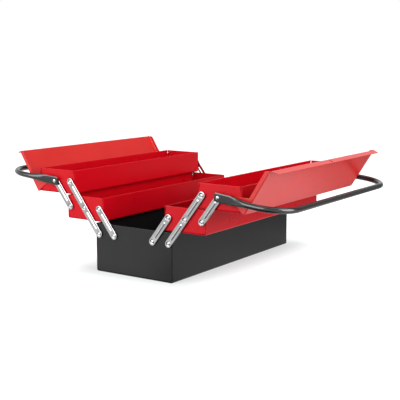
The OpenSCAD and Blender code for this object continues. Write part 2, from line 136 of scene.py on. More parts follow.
class ToolBoxSizes(bpy.types.PropertyGroup):
    """Sizes of the pressed links, the rivets and the handles"""

    sheet: FloatProperty(
        name="Sheet", description="Thickness of the folded sheet", default=0.8 * MM, unit="LENGTH"
    )
    link_width: FloatProperty(
        name="Link width", description="Width of a pressed link", default=15 * MM, unit="LENGTH"
    )
    link_thick: FloatProperty(
        name="Link thickness", description="Thickness of a link's plate",
        default=1.5 * MM, unit="LENGTH",
    )
    link_edge: FloatProperty(
        name="Link edge", description="Rounding along a link's edge",
        default=0.25 * MM, unit="LENGTH",
    )
    rib_width: FloatProperty(
        name="Rib width", description="Width of the pressed rib", default=4.6 * MM, unit="LENGTH"
    )
    rib_height: FloatProperty(
        name="Rib height", description="Height of the rib above the plate",
        default=0.9 * MM, unit="LENGTH",
    )
    rib_low: FloatProperty(
        name="Rib low margin", description="From a span's lower pivot to its rib",
        default=13 * MM, unit="LENGTH",
    )
    rib_high: FloatProperty(
        name="Rib high margin", description="From the rib to a span's upper pivot",
        default=14.5 * MM, unit="LENGTH",
    )
    dimple_mouth: FloatProperty(
        name="Dimple mouth", description="Radius where a dimple starts",
        default=5.7 * MM, unit="LENGTH",
    )
    dimple_floor: FloatProperty(
        name="Dimple floor", description="Radius of a dimple's flat floor",
        default=4.2 * MM, unit="LENGTH",
    )
    link_hole: FloatProperty(
        name="Link hole", description="Radius of a link's hole", default=2.58 * MM, unit="LENGTH"
    )
    shank: FloatProperty(
        name="Shank", description="Radius of the rivets' shanks", default=2.5 * MM, unit="LENGTH"
    )
    head: FloatProperty(
        name="Head", description="Radius of the domed heads", default=3.6 * MM, unit="LENGTH"
    )
    handle_head: FloatProperty(
        name="Handle rivet head", description="Radius of the handle rivets' heads",
        default=4 * MM, unit="LENGTH",
    )
    dome: FloatProperty(
        name="Dome", description="Height of the domes", default=1.6 * MM, unit="LENGTH"
    )
    head_proud: FloatProperty(
        name="Head proud", description="How far a dome stands above a link",
        default=0.5 * MM, unit="LENGTH",
    )
    tail: FloatProperty(
        name="Tail", description="Radius of the upset tails", default=4 * MM, unit="LENGTH"
    )
    tail_thick: FloatProperty(
        name="Tail thickness", description="Thickness of the upset tails",
        default=1.2 * MM, unit="LENGTH",
    )
    face_gap: FloatProperty(
        name="Face gap", description="Gap between faces that turn on each other",
        default=0.1 * MM, unit="LENGTH",
    )
    tube: FloatProperty(
        name="Tube", description="Radius of the handle tube", default=6 * MM, unit="LENGTH"
    )
    handle_bend: FloatProperty(
        name="Handle bend", description="Bend radius of the tube, at its middle",
        default=60 * MM, unit="LENGTH",
    )
    paddle_thick: FloatProperty(
        name="Flat end thickness", description="Thickness of the flattened ends",
        default=3 * MM, unit="LENGTH",
    )
    paddle_width: FloatProperty(
        name="Flat end width", description="Width of the flattened ends",
        default=18 * MM, unit="LENGTH",
    )
    paddle_back: FloatProperty(
        name="Flat end back", description="Reach of a flattened end past its pivot",
        default=8.5 * MM, unit="LENGTH",
    )
    paddle_corner: FloatProperty(
        name="Flat end corner", description="Corner radius of a flattened end",
        default=3 * MM, unit="LENGTH",
    )
    flat_until: FloatProperty(
        name="Flat until", description="Where a flattened end starts to swell",
        default=20 * MM, unit="LENGTH",
    )
    round_from: FloatProperty(
        name="Round from", description="Where the tube is fully round",
        default=70 * MM, unit="LENGTH",
    )
    smoothness: IntProperty(
        name="Segments", description="Faces round a rivet or tube", default=32, min=12, max=64
    )


class ToolBoxFinish(bpy.types.PropertyGroup):
    """Colours of the enamels and the plating"""

    red: FloatVectorProperty(
        name="Red enamel", description="Colour of the trays",
        subtype="COLOR", default=(0.50, 0.0009, 0.007),
    )
    # The lids' colour is the red enamel made brighter and warmer: painted light on the lids
    lid: FloatVectorProperty(
        name="Lid enamel", description="Colour of the lids",
        subtype="COLOR", default=(0.54, 0.0072, 0.0043),
    )
    black: FloatVectorProperty(
        name="Black enamel", description="Colour of the base",
        subtype="COLOR", default=(0.0055, 0.0055, 0.006),
    )
    handle: FloatVectorProperty(
        name="Handle enamel", description="Colour of the handles",
        subtype="COLOR", default=(0.005, 0.005, 0.006),
    )
    zinc: FloatVectorProperty(
        name="Zinc plate", description="Colour of the links and rivets",
        subtype="COLOR", default=(0.62, 0.62, 0.625),
    )


class ToolBoxStage(bpy.types.PropertyGroup):
    """Camera and light of the studio"""

    lens: FloatProperty(
        name="Lens", description="Focal length", default=79.05, min=10, unit="CAMERA"
    )
    camera_place: FloatVectorProperty(
        name="Camera", description="Where the camera stands",
        subtype="TRANSLATION", default=(-1.6197, -1.1149, 0.4445),
    )
    azimuth: FloatProperty(
        name="Azimuth", description="Turn of the view from +Y to +X",
        default=math.radians(55.58), subtype="ANGLE",
    )
    elevation: FloatProperty(
        name="Elevation", description="How far the view looks down",
        default=math.radians(9.08), subtype="ANGLE",
    )
    world: FloatProperty(
        name="World", description="Strength of the light from all round", default=0.34, min=0
    )
    dim: FloatProperty(
        name="Dim side", description="Brightness in gloss above and in front at the right",
        default=0.32, min=0, max=1, subtype="FACTOR",
    )
    floor_lift: FloatProperty(
        name="Floor lift", description="Light that the camera's floor gives off beside the base",
        default=0.5, min=0, max=1, subtype="FACTOR",
    )
    shadow_reach: FloatProperty(
        name="Shadow reach", description="How far round the base the floor shows its shadow",
        default=0.13, unit="LENGTH",
    )
    # The floor's brightness in gloss is painted: a glow set place by place, not light that falls on
    # it
    floor_near: FloatProperty(
        name="Near floor", description="Brightness in gloss of the spot off the left end",
        default=0.1, min=0, max=1, subtype="FACTOR",
    )
    floor_left: FloatProperty(
        name="Left floor", description="Brightness in gloss well beyond the left end",
        default=0.65, min=0, max=1, subtype="FACTOR",
    )
    # The painted shadow of the trays on the floor in gloss
    floor_painted_shadow: FloatProperty(
        name="Floor shade", description="Darkening in gloss under the trays",
        default=0.35, min=0, max=1, subtype="FACTOR",
    )
    floor_far: FloatProperty(
        name="Far floor", description="Brightness in gloss beyond the right end",
        default=0.3, min=0, max=1, subtype="FACTOR",
    )
    top_light: FloatProperty(
        name="Top light", description="Power of the overhead lamp",
        default=15, min=0, unit="POWER",
    )
    left_light: FloatProperty(
        name="Left light", description="Power of the lamp at the left end",
        default=72, min=0, unit="POWER",
    )
    front_light: FloatProperty(
        name="Front light", description="Power of the lamp in front",
        default=72, min=0, unit="POWER",
    )


# ---- node trees written as formulas ----


def plug(tree, value, socket):
    """Links a wire to a socket, or sets the socket to a plain value"""
    if isinstance(value, Wire):
        tree.links.new(value.socket, socket)
    else:
        socket.default_value = value


def in_order(tree, kind, values, **settings):
    """The first output of a node with its settings made, whose first inputs take these values"""
    node = tree.nodes.new(kind)
    for name, value in settings.items():
        setattr(node, name, value)
    for value, socket in zip(values, node.inputs):
        plug(tree, value, socket)
    return Wire(tree, node.outputs[0])


class Wire:
    """A value that travels through a node tree, so that a formula reads as one"""

    def __init__(self, tree, socket):
        self.tree = tree
        self.socket = socket

    def math(self, operation, *others):
        """This operation of a Math node, on this wire and the others"""
        return in_order(self.tree, "ShaderNodeMath", (self, *others), operation=operation)

    def __add__(self, other):
        return self.math("ADD", other)

    def __sub__(self, other):
        return self.math("SUBTRACT", other)

    def __mul__(self, other):
        return self.math("MULTIPLY", other)

    def __rsub__(self, other):
        return self * -1 + other

    def __truediv__(self, other):
        return self.math("DIVIDE", other)

    def __gt__(self, other):
        return self.math("GREATER_THAN", other)

    def __lt__(self, other):
        return self.math("LESS_THAN", other)

    def smooth(self, low, high):
        """0 below low, 1 above high and a smooth step in between"""
        values = (self, low, high)
        return in_order(
            self.tree, "ShaderNodeMapRange", values, interpolation_type="SMOOTHSTEP"
        )

    def blend(self, first, second):
        """first where this wire is 0 and second where it is 1"""
        return self * (second - first) + first


def node_of(tree, kind, settings=None, **inputs):
    """A node of this kind with its settings made and its named inputs plugged in"""
    node = tree.nodes.new(kind)
    for name, value in (settings or {}).items():
        setattr(node, name, value)
    for name, value in inputs.items():
        plug(tree, value, node.inputs[name.replace("_", " ")])
    return node


def wire_of(tree, kind, settings=None, **inputs):
    """The first output of such a node"""
    return Wire(tree, node_of(tree, kind, settings, **inputs).outputs[0])


def split(tree, vector):
    """The x, y and z of a vector, as wires"""
    node = node_of(tree, "ShaderNodeSeparateXYZ", Vector=vector)
    return [Wire(tree, socket) for socket in node.outputs]


def coordinates_of(tree, kind):
    """The texture coordinates of this kind"""
    return Wire(tree, node_of(tree, "ShaderNodeTexCoord").outputs[kind])


def rays_of(tree):
    """Two wires: 1 for the camera's rays, and 1 for the rays that gloss and glass send on"""
    rays = node_of(tree, "ShaderNodeLightPath")
    camera, glossy, through = (
        Wire(tree, rays.outputs[kind])
        for kind in ("Is Camera Ray", "Is Glossy Ray", "Is Transmission Ray")
    )
    return camera, glossy.math("MAXIMUM", through)


def joined(tree, *parts):
    """Several meshes as one"""
    node = tree.nodes.new("GeometryNodeJoinGeometry")
    for part in parts:
        tree.links.new(part.socket, node.inputs[0])
    return Wire(tree, node.outputs[0])


def new_tree(name, floats=(), integers=()):
    """An empty geometry tree with named inputs. Returns the tree and a dictionary of their wires"""
    tree = bpy.data.node_groups.new(name, "GeometryNodeTree")
    tree.interface.new_socket("Geometry", in_out="INPUT", socket_type="NodeSocketGeometry")
    for label in floats:
        tree.interface.new_socket(label, in_out="INPUT", socket_type="NodeSocketFloat")
    for label in integers:
        tree.interface.new_socket(label, in_out="INPUT", socket_type="NodeSocketInt")
    tree.interface.new_socket("Material", in_out="INPUT", socket_type="NodeSocketMaterial")
    tree.interface.new_socket("Geometry", in_out="OUTPUT", socket_type="NodeSocketGeometry")
    source = tree.nodes.new("NodeGroupInput")
    return tree, {socket.name: Wire(tree, socket) for socket in source.outputs if socket.name}


def end_tree(tree, inputs, shape):
    """Puts the shape at every point, turned by the point's own turn, and ends the tree"""
    turn = wire_of(
        tree, "GeometryNodeInputNamedAttribute", {"data_type": "FLOAT_VECTOR"}, Name="turn"
    )
    rotation = wire_of(tree, "FunctionNodeEulerToRotation", Euler=turn)
    placed = wire_of(
        tree, "GeometryNodeInstanceOnPoints",
        Points=inputs["Geometry"], Instance=shape, Rotation=rotation,
    )
    real = wire_of(tree, "GeometryNodeRealizeInstances", Geometry=placed)
    dressed = wire_of(tree, "GeometryNodeSetMaterial", Geometry=real, Material=inputs["Material"])
    sink = tree.nodes.new("NodeGroupOutput")
    tree.links.new(dressed.socket, sink.inputs[0])
    return tree


def grown(name, tree, places, material, values):
    """Runs a tree on points, given as (place, turn), and returns the result as a plain object"""
    mesh = bpy.data.meshes.new(name + "_points")
    mesh.from_pydata([place for place, turn in places], [], [])
    turns = mesh.attributes.new("turn", "FLOAT_VECTOR", "POINT")
    turns.data.foreach_set("vector", [angle for place, turn in places for angle in turn])
    seed = bpy.data.objects.new(name + "_seed", mesh)
    bpy.context.scene.collection.objects.link(seed)
    modifier = seed.modifiers.new("growth", "NODES")
    modifier.node_group = tree
    given = {**values, "Material": material}
    for socket in tree.interface.items_tree:
        if socket.in_out == "INPUT" and socket.name != "Geometry":
            modifier[socket.identifier] = given[socket.name]
    view = bpy.context.evaluated_depsgraph_get()
    result = bpy.data.meshes.new_from_object(seed.evaluated_get(view), depsgraph=view)
    bpy.data.objects.remove(seed)
    bpy.data.meshes.remove(mesh)
    return settled(name, result)


def settled(name, mesh, sharp=35):
    """An object for a finished mesh, smooth but for edges sharper than this angle"""
    mesh.name = name
    mesh.polygons.foreach_set("use_smooth", [True] * len(mesh.polygons))
    mesh.set_sharp_from_angle(angle=math.radians(sharp))
    piece = bpy.data.objects.new(name, mesh)
    bpy.context.scene.collection.objects.link(piece)
    return piece


def finish_of(node):
    """The material that the enamel step gave to a CAD node"""
    return frame["nodes"][node].data.materials[0]


def hand_over(piece, body, nodes):
    """The piece rides on its body and stands for these nodes"""
    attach(piece, body)
    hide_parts(*nodes)


# ---- enamel and plating ----


def noise_of(tree, coordinates, scale, detail=2.0, stretch=(1, 1, 1)):
    """Noise at this many waves a metre, stretched along the axes"""
    mapping = wire_of(tree, "ShaderNodeMapping", Vector=coordinates, Scale=stretch)
    return wire_of(tree, "ShaderNodeTexNoise", Vector=mapping, Scale=scale, Detail=detail)


def tinted(tree, factor, low, high):
    """A colour between two, by a factor. The node has sockets of one name for each type, and
    those of a colour are the inputs 6 and 7 and the output 2"""
    node = node_of(tree, "ShaderNodeMix", {"data_type": "RGBA"})
    plug(tree, factor, node.inputs[0])
    node.inputs[6].default_value = (*low, 1)
    node.inputs[7].default_value = (*high, 1)
    return Wire(tree, node.outputs[2])


def shaded(colour, share):
    """A colour made darker or lighter"""
    return tuple(min(1.0, channel * share) for channel in colour)


def bare_material(name, metallic=0.0, specular=0.5):
    """A material with its uniform values on the shader. Returns it, its tree and its shader"""
    material = bpy.data.materials.new(name)
    material.use_nodes = True
    tree = material.node_tree
    shader = tree.nodes["Principled BSDF"]
    shader.inputs["Metallic"].default_value = metallic
    shader.inputs["Specular IOR Level"].default_value = specular
    return material, tree, shader


def raised(tree, shader, height, depth):
    """Bump from a height, whose 1 stands for this many metres"""
    bump = node_of(tree, "ShaderNodeBump", Strength=1.0, Distance=depth, Height=height)
    tree.links.new(bump.outputs[0], shader.inputs["Normal"])


def enamel(name, colour, rough, peel, grain, specular):
    """Baked enamel: slow colour drift, orange peel of this depth and a fine grain on it"""
    material, tree, shader = bare_material(name, specular=specular)
    place = coordinates_of(tree, "Object")
    drift = noise_of(tree, place, DRIFT_WAVES)
    dust = noise_of(tree, place, DUST_WAVES, detail=4)
    tint = tinted(tree, drift, *(shaded(colour, share) for share in ENAMEL_SHADES))
    plug(tree, tint, shader.inputs["Base Color"])
    uneven = (drift - 0.5) * ENAMEL_ROUGHNESS + (dust - 0.5) * ENAMEL_ROUGHNESS
    plug(tree, uneven + rough, shader.inputs["Roughness"])
    waves = noise_of(tree, place, PEEL_WAVES, detail=1)
    fine = noise_of(tree, place, GRAIN_WAVES, detail=2)
    raised(tree, shader, waves + fine * grain, peel)
    return material


def zinc_plate(name, colour, rough):
    """Bright zinc: pale mottling, soft drawn streaks and a fine grain"""
    material, tree, shader = bare_material(name, metallic=1.0)
    place = coordinates_of(tree, "Object")
    mottle = noise_of(tree, place, MOTTLE_WAVES, detail=4)
    streak = noise_of(tree, place, STREAK_WAVES, detail=3, stretch=STREAK_STRETCH)
    tint = tinted(tree, mottle, *(shaded(colour, share) for share in ZINC_SHADES))
    plug(tree, tint, shader.inputs["Base Color"])
    plug(tree, (streak - 0.5) * ZINC_ROUGHNESS + rough, shader.inputs["Roughness"])
    raised(tree, shader, streak + mottle * ZINC_GRAIN, ZINC_BUMP)
    return material


# ---- operators: one for each piece or group of like pieces ----


class TOOLBOX_OT_enamel(bpy.types.Operator):
    """Give the base, the trays and the lids their enamel, and every other part its finish"""

    bl_idname = "toolbox.enamel"
    bl_label = "Enamel and plating"

    def execute(self, context):
        finish = context.scene.tool_box_finish
        # Name, colour, roughness, depth of the peel, share of the grain in it, specular level
        enamels = (
            ("red_enamel", finish.red, 0.30, 0.03 * MM, 0.25, 0.25),
            ("black_enamel", finish.black, 0.38, 0.04 * MM, 0.6, 0.40),
            ("handle_enamel", finish.handle, 0.22, 0.008 * MM, 0.04, 0.85),
            # The lids get a lit copy of the red enamel, brighter and glossier: painted light
            ("lid_enamel", finish.lid, 0.32, 0.03 * MM, 0.25, 0.78),
        )
        made = {
            name: enamel(name, colour, rough, peel, grain, specular)
            for name, colour, rough, peel, grain, specular in enamels
        }
        made["zinc_plate"] = zinc_plate("zinc_plate", finish.zinc, rough=0.16)
        made["rivet_zinc"] = zinc_plate("rivet_zinc", finish.zinc, rough=0.1)
        for name, node in frame["nodes"].items():
            if name.endswith("_lid"):
                kind = "lid_enamel"
            elif name.endswith("_rivets"):
                kind = "rivet_zinc"
            else:
                kind = SLOTS[name]
            node.data.materials.clear()
            node.data.materials.append(made[kind])
        return {"FINISHED"}


def pressed_link_tree():
    """The tree of a pressed link: a plate with round ends, ribs and a dimple at each pivot"""
    tree, given = new_tree(
        "pressed links",
        floats=(
            "Pitch", "Width", "Thickness", "Edge", "Rib Width", "Rib Height", "Rib Low", "Rib High",
            "Dimple Mouth", "Dimple Floor", "First Depth", "Other Depth", "Hole Radius", "Face",
        ),
        integers=("Spans", "Cells Across", "Cells Between", "Hole Cells"),
    )
    across, between = given["Cells Across"], given["Cells Between"]
    spans, pitch = given["Spans"], given["Pitch"]
    period = across + between
    total = spans * period + across
    radius = given["Width"] / 2
    flat = wire_of(
        tree, "GeometryNodeMeshGrid",
        Size_X=total, Size_Y=across, Vertices_X=total + 1, Vertices_Y=across + 1,
    )

    # Every face is a square of size 1 here. A speck is far less than one, against rounding. The
    # coordinates a and b run from -1 to 1 round each pivot, and a ring of 1 is the square's edge
    speck = 0.01
    edge = 0.999
    x, y, z = split(tree, wire_of(tree, "GeometryNodeInputPosition"))
    along = x + total / 2
    span = ((along + speck) / period).math("FLOOR")
    step = along - span * period
    half = across / 2
    a = step.math("MINIMUM", across) / half - 1
    b = y / half
    ring = a.math("ABSOLUTE").math("MAXIMUM", b.math("ABSOLUTE"))
    near_pivot = step < across + speck

    # The plate without its holes, and under it the same again with the walls between the two
    in_hole = (ring * half < given["Hole Cells"]).math("MULTIPLY", near_pivot)
    pierced = wire_of(
        tree, "GeometryNodeDeleteGeometry", {"domain": "FACE"}, Geometry=flat, Selection=in_hole
    )
    down = wire_of(tree, "ShaderNodeCombineXYZ", X=0.0, Y=0.0, Z=-1.0)
    drawn = wire_of(
        tree, "GeometryNodeExtrudeMesh", {"mode": "FACES"},
        Mesh=pierced, Individual=False, Offset=down, Offset_Scale=1.0,
    )
    under = wire_of(tree, "GeometryNodeFlipFaces", Mesh=drawn)
    both = joined(tree, pierced, under)
    shell = wire_of(tree, "GeometryNodeMergeByDistance", Geometry=both, Distance=speck)

    # Squares round a pivot become circles: as a whole at the link's two ends, and elsewhere all
    # but their outermost fifth, which turns back to the plate's straight edges
    spread = (a * a + b * b).math("SQRT").math("MAXIMUM", 0.001)
    hole_share = given["Hole Cells"] / half
    stretch = (1 - given["Hole Radius"] / radius) / (1 - hole_share)
    reach = 1 - (1 - ring) * stretch
    round_a = a / spread * reach
    round_b = b / spread * reach
    low_cap = (span < 0.5) * (a < 0.0)
    high_cap = (span > spans - 0.5) * (a > 0.0)
    at_cap = low_cap.math("MAXIMUM", high_cap)
    roundness = at_cap.math("MAXIMUM", 1 - ring.smooth(0.8, 1.0)) * near_pivot
    local_u = roundness.blend(a, round_a) * radius
    v = roundness.blend(b, round_b) * radius
    middle = (step - across).math("MAXIMUM", 0.0) / between * (pitch - given["Width"])
    u = span * pitch + local_u + middle

    # Height above the plate's face: the dimples go back, the ribs stand out as a part of a
    # round bar with ball ends, and the rims of both faces are drawn in
    from_pivot = (local_u * local_u + v * v).math("SQRT")
    depth = (span < 0.5).blend(given["Other Depth"], given["First Depth"])
    slope = from_pivot.smooth(given["Dimple Floor"], given["Dimple Mouth"])
    dimple = (1 - slope) * depth * near_pivot
    floor_span = (u / pitch).math("FLOOR").math("MAXIMUM", 0.0).math("MINIMUM", spans - 1)
    in_span = u - floor_span * pitch
    nearest = in_span.math("MAXIMUM", given["Rib Low"]).math("MINIMUM", pitch - given["Rib High"])
    off = in_span - nearest
    from_rib = (off * off + v * v).math("SQRT")
    half_rib = given["Rib Width"] / 2
    rib_height = given["Rib Height"]
    arc = (half_rib * half_rib + rib_height * rib_height) / (rib_height * 2)
    crown = (arc * arc - from_rib * from_rib).math("MAXIMUM", 0.0).math("SQRT")
    rib = (crown - (arc - rib_height)).math("MAXIMUM", 0.0)
    at_rim = (b.math("ABSOLUTE") > edge).math("MAXIMUM", at_cap * (ring > edge))
    behind = z < -0.5
    side = behind * 2 - 1
    height = rib - dimple - behind * given["Thickness"] + at_rim * side * given["Edge"]

    point = wire_of(tree, "ShaderNodeCombineXYZ", X=given["Face"] + height, Y=v, Z=u)
    shaped = wire_of(tree, "GeometryNodeSetPosition", Geometry=shell, Position=point)
    return end_tree(tree, given, shaped)


class TOOLBOX_OT_links(bpy.types.Operator):
    """Make the pressed links at both ends, with their ribs and dimples"""

    bl_idname = "toolbox.links"
    bl_label = "Pressed links"

    def execute(self, context):
        sizes = context.scene.tool_box_sizes
        material = finish_of("front_long_link_left")
        tree = pressed_link_tree()
        for side in SIDES:
            swing = PIVOTS[side + "_swing"]
            middle = PIVOTS[side + "_lower_tray_turn"]
            pitch = (middle - swing).length
            lean = -math.atan2(middle.y - swing.y, middle.z - swing.z)
            pairs = (
                ("long", 2, swing, BASE_WALL),
                ("lower", 1, PIVOTS[side + "_lower_link_turn"], BASE_WALL),
                ("upper", 1, PIVOTS[side + "_upper_link_turn"], TRAY_WALL),
            )
            for kind, spans, foot, first_wall in pairs:
                nodes = [f"{side}_{kind}_link_{end}" for end in ENDS]
                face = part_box(nodes[1])[1].x - sizes.rib_height
                # A dimple reaches from the link's back to the wall behind it
                back = face - sizes.link_thick - sizes.face_gap
                place = (0, foot.y, foot.z)
                values = {
                    "Pitch": pitch, "Width": sizes.link_width,
                    "Thickness": sizes.link_thick, "Edge": sizes.link_edge,
                    "Rib Width": sizes.rib_width, "Rib Height": sizes.rib_height,
                    "Rib Low": sizes.rib_low, "Rib High": sizes.rib_high,
                    "Dimple Mouth": sizes.dimple_mouth, "Dimple Floor": sizes.dimple_floor,
                    "First Depth": back - first_wall, "Other Depth": back - TRAY_WALL,
                    "Hole Radius": sizes.link_hole, "Face": face, "Spans": spans, **LINK_CELLS,
                }
                places = [(place, (lean, 0, 0)), (place, (-lean, 0, math.pi))]
                piece = grown(f"{side}_{kind}_link_pair", tree, places, material, values)
                hand_over(piece, f"{side}_{kind}_links", nodes)
        return {"FINISHED"}


def disc_with_domes(tree, segments, radius, bottom, top, dome=0.0, under_dome=0.0):
    """A disc along Z between two heights, with a dome on it and, if asked, one under it"""
    blank = wire_of(
        tree, "GeometryNodeMeshCylinder", {"fill_type": "TRIANGLE_FAN"},
        Vertices=segments, Side_Segments=1, Fill_Segments=6, Radius=1.0, Depth=1.0,
    )
    x, y, z = split(tree, wire_of(tree, "GeometryNodeInputPosition"))
    share = (1 - (x * x + y * y)).math("MAXIMUM", 0.0).math("SQRT")
    height = (z > 0.0).blend(bottom - share * under_dome, share * dome + top)
    point = wire_of(tree, "ShaderNodeCombineXYZ", X=x * radius, Y=y * radius, Z=height)
    return wire_of(tree, "GeometryNodeSetPosition", Geometry=blank, Position=point)


def rivet_tree():
    """The tree of a rivet that stands along X, measured from the wall's outer face"""
    tree, given = new_tree(
        "domed rivets",
        floats=(
            "Shank Radius", "Head Radius", "Dome", "Head Seat", "Head Rim", "Shoulder Radius",
            "Shoulder Foot", "Shoulder Top", "Tail Radius", "Tail Thickness", "Wall",
        ),
        integers=("Segments",),
    )
    wall, seat = given["Wall"] * -1, given["Head Seat"]
    tail_dome = given["Tail Thickness"] / 2
    discs = (
        (given["Head Radius"], seat, given["Head Rim"], given["Dome"]),
        (given["Shank Radius"], wall, seat),
        (given["Shoulder Radius"], given["Shoulder Foot"], given["Shoulder Top"]),
        (given["Tail Radius"], wall - tail_dome, wall, 0.0, tail_dome),
    )
    parts = [disc_with_domes(tree, given["Segments"], *disc) for disc in discs]
    laid = wire_of(
        tree, "GeometryNodeTransform",
        Geometry=joined(tree, *parts), Rotation=(0.0, math.pi / 2, 0.0),
    )
    return end_tree(tree, given, laid)


def paddle_face(side, sizes):
    """The outer face of a handle's flat ends, just under the domes of its rivets, along X"""
    rivet_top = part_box(side + "_handle_rivets")[1].x
    return rivet_top - sizes.dome - sizes.head_proud - sizes.face_gap


class TOOLBOX_OT_rivets(bpy.types.Operator):
    """Make the domed rivets, one piece for each body that holds them"""

    bl_idname = "toolbox.rivets"
    bl_label = "Rivets"

    def execute(self, context):
        sizes = context.scene.tool_box_sizes
        material = finish_of("base_rivets")
        tree = rivet_tree()
        link_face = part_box("front_long_link_right")[1].x - sizes.rib_height
        lug_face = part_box("front_lid")[1].x
        link_seat = sizes.link_thick + 2 * sizes.face_gap
        link_rim = link_face + sizes.head_proud - sizes.dome

        def rivets(name, body, wall, spots, head, seat, rim, shoulder=(0.0, 0.0, 0.0)):
            """Rivets at these spots in both end walls, as one piece. A shoulder is a radius and
            the heights of its foot and its top"""
            values = {
                "Shank Radius": sizes.shank, "Head Radius": head, "Dome": sizes.dome,
                "Head Seat": seat, "Head Rim": rim,
                "Shoulder Radius": shoulder[0] or sizes.shank,
                "Shoulder Foot": shoulder[1], "Shoulder Top": shoulder[2] or seat,
                "Tail Radius": sizes.tail, "Tail Thickness": sizes.tail_thick,
                "Wall": sizes.sheet, "Segments": sizes.smoothness,
            }
            places = [((wall, spot.y, spot.z), (0, 0, 0)) for spot in spots]
            places += [((-wall, spot.y, spot.z), (0, 0, math.pi)) for spot in spots]
            hand_over(grown(name + "_set", tree, places, material, values), body, [name])

        feet = [PIVOTS[side + joint] for side in SIDES for joint in ("_swing", "_lower_link_turn")]
        rivets("base_rivets", "base", BASE_WALL, feet, sizes.head, link_seat, link_rim - BASE_WALL)
        for side in SIDES:
            middle, last = PIVOTS[side + "_lower_tray_turn"], PIVOTS[side + "_upper_link_turn"]
            # The innermost hole has no joint. It's as far from the middle one as the last is
            first = middle * 2 - last
            carried = PIVOTS[side + "_upper_tray_turn"]
            handle, lid = PIVOTS[side + "_handle_lift"], PIVOTS[side + "_lid_shut"]
            lower, upper = side + "_lower_tray", side + "_upper_tray"
            rim = link_rim - TRAY_WALL
            spots = [first, middle, last]
            rivets(lower + "_rivets", lower, TRAY_WALL, spots, sizes.head, link_seat, rim)
            rivets(upper + "_rivets", upper, TRAY_WALL, [carried], sizes.head, link_seat, rim)
            face = paddle_face(side, sizes)
            back = face - sizes.paddle_thick - sizes.face_gap - TRAY_WALL
            seat = face + sizes.face_gap - TRAY_WALL
            rivets(
                side + "_handle_rivets", upper, TRAY_WALL, [handle], sizes.handle_head, seat,
                seat + sizes.head_proud, shoulder=(sizes.head, link_seat, back),
            )
            seat = lug_face + sizes.face_gap - TRAY_WALL
            rivets(side + "_lid_rivets", upper, TRAY_WALL, [lid], sizes.head, seat, seat)
        return {"FINISHED"}


def eased(value, low, high):
    """0 below low, 1 above high and a smooth step in between, for plain numbers"""
    share = min(1.0, max(0.0, (value - low) / (high - low)))
    return share * share * (3 - 2 * share)


def handle_rings(sizes, arm_x, paddle_x, reach):
    """Rings along one half of the handle, from its flat end to the middle of its bar.
    Each is (centre x, centre y, direction angle, half thickness, half width, squareness)"""
    rings = []
    half_flat, half_wide = sizes.paddle_thick / 2, sizes.paddle_width / 2
    corner = sizes.paddle_corner
    flat_x = paddle_x + half_flat
    stops = [corner * (1 - math.cos(math.radians(turn))) for turn in TIP_TURNS]
    stops += list(np.linspace(corner, sizes.paddle_back + sizes.flat_until, FLAT_RINGS)[1:])
    for distance in stops:
        dip = max(0.0, corner - distance)
        narrow = corner - math.sqrt(max(0.0, corner * corner - dip * dip))
        thin = TIP_THINNING * max(0.0, 1 - distance / (corner / 2))
        y = distance - sizes.paddle_back
        rings.append((flat_x, y, 0.0, half_flat - thin, half_wide - narrow, SQUARE))
    for y in np.linspace(sizes.flat_until, sizes.round_from, SWELL_RINGS)[1:]:
        share = eased(y, sizes.flat_until, sizes.round_from)
        squareness = 1 - eased(y, sizes.flat_until, sizes.flat_until + SQUARE_FADE)
        rings.append((
            flat_x + (arm_x - flat_x) * share, y, 0.0,
            half_flat + (sizes.tube - half_flat) * share,
            half_wide + (sizes.tube - half_wide) * share,
            ROUND + (SQUARE - ROUND) * squareness,
        ))
    bend_x, bend_y = arm_x - sizes.handle_bend, reach - sizes.handle_bend
    tube = (sizes.tube, sizes.tube, ROUND)
    for y in np.linspace(sizes.round_from, bend_y, ARM_RINGS)[1:-1]:
        rings.append((arm_x, y, 0.0, *tube))
    for turn in np.linspace(0, math.pi / 2, BEND_RINGS):
        x = bend_x + sizes.handle_bend * math.cos(turn)
        y = bend_y + sizes.handle_bend * math.sin(turn)
        rings.append((x, y, turn, *tube))
    for x in np.linspace(bend_x, 0, BAR_RINGS)[1:]:
        rings.append((x, reach, math.pi / 2, *tube))
    return rings


def handle_mesh(name, sizes, arm_x, paddle_x, reach):
    """The whole bent tube with its pivots on the X axis and its arms along +Y"""
    half = handle_rings(sizes, arm_x, paddle_x, reach)
    whole = half + [(-x, y, math.pi - turn, *section) for x, y, turn, *section in half[-2::-1]]
    points = []
    count = sizes.smoothness
    for x, y, turn, thick, wide, square in whole:
        for i in range(count):
            angle = 2 * math.pi * i / count
            c, s = math.cos(angle), math.sin(angle)
            size = (abs(c) ** square + abs(s) ** square) ** (-1 / square)
            out, up = thick * size * c, wide * size * s
            points.append((x + out * math.cos(turn), y + out * math.sin(turn), up))
    faces = []
    for ring in range(0, len(points) - count, count):
        for i in range(count):
            beside = (i + 1) % count
            faces.append((ring + count + i, ring + count + beside, ring + beside, ring + i))
    faces.append(tuple(range(count)))
    faces.append(tuple(range(len(points) - 1, len(points) - count - 1, -1)))
    mesh = bpy.data.meshes.new(name)
    mesh.from_pydata(points, [], faces)
    return mesh


